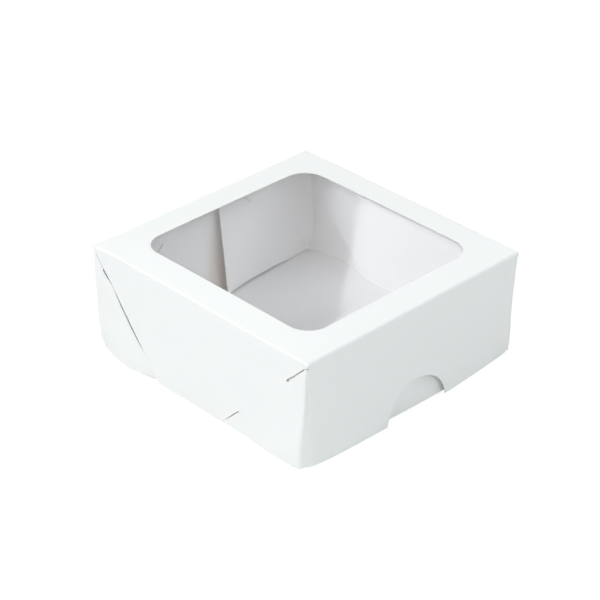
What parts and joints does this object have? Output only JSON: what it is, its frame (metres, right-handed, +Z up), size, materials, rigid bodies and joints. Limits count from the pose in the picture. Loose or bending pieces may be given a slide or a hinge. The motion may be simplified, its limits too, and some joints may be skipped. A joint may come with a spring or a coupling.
{
  "type": "hinged window box",
  "caption": "Low square folding carton with a hinged lid, a large rounded film window, creased corner flaps and a thumb notch in the bowed front flap.",
  "frame": {"origin": "on the table under the middle of the closed lid, at the underside of the floor panel", "axes": "+X towards the front with the thumb notch, -X towards the hinge, -Y the left side, +Y the right side, +Z up"},
  "size_m": [0.1317, 0.127, 0.0526],
  "materials": {
    "board": "smooth white coated folding board, low sheen",
    "film": "clear glossy film",
    "glue": "dried white glue, hidden between layers"
  },
  "bodies": {
    "tray": {"floor_panel": "board", "back_wall": "board", "front_wall": "board", "left_wall": "board", "right_wall": "board", "floor_back_crease": "board", "floor_front_crease": "board", "floor_left_crease": "board", "floor_right_crease": "board", "back_left_corner_crease": "board", "back_right_corner_crease": "board", "front_left_corner_crease": "board", "front_right_corner_crease": "board", "back_left_gusset": "board", "back_right_gusset": "board", "front_left_gusset": "board", "front_right_gusset": "board", "back_left_flap": "board", "back_right_flap": "board", "front_left_flap": "board", "front_right_flap": "board", "tray_glue_spots": "glue"},
    "lid": {"lid_panel": "board", "hinge_crease": "board", "window_film": "film", "film_glue_ring": "glue", "lid_front_flap": "board", "lid_front_crease": "board", "lid_left_flap": "board", "lid_right_flap": "board", "lid_left_crease": "board", "lid_right_crease": "board", "lid_left_gusset": "board", "lid_right_gusset": "board", "lid_left_corner_crease": "board", "lid_right_corner_crease": "board", "lid_left_glue_tab": "board", "lid_right_glue_tab": "board", "lid_glue_spots": "glue"}
  },
  "joints": [
    {"name": "lid_hinge", "type": "hinge", "parent": "tray", "child": "lid", "pos_m": [-0.06474, 0, 0.04975], "axis": [0, -1, 0], "range_deg": [0, 200]}
  ]
}
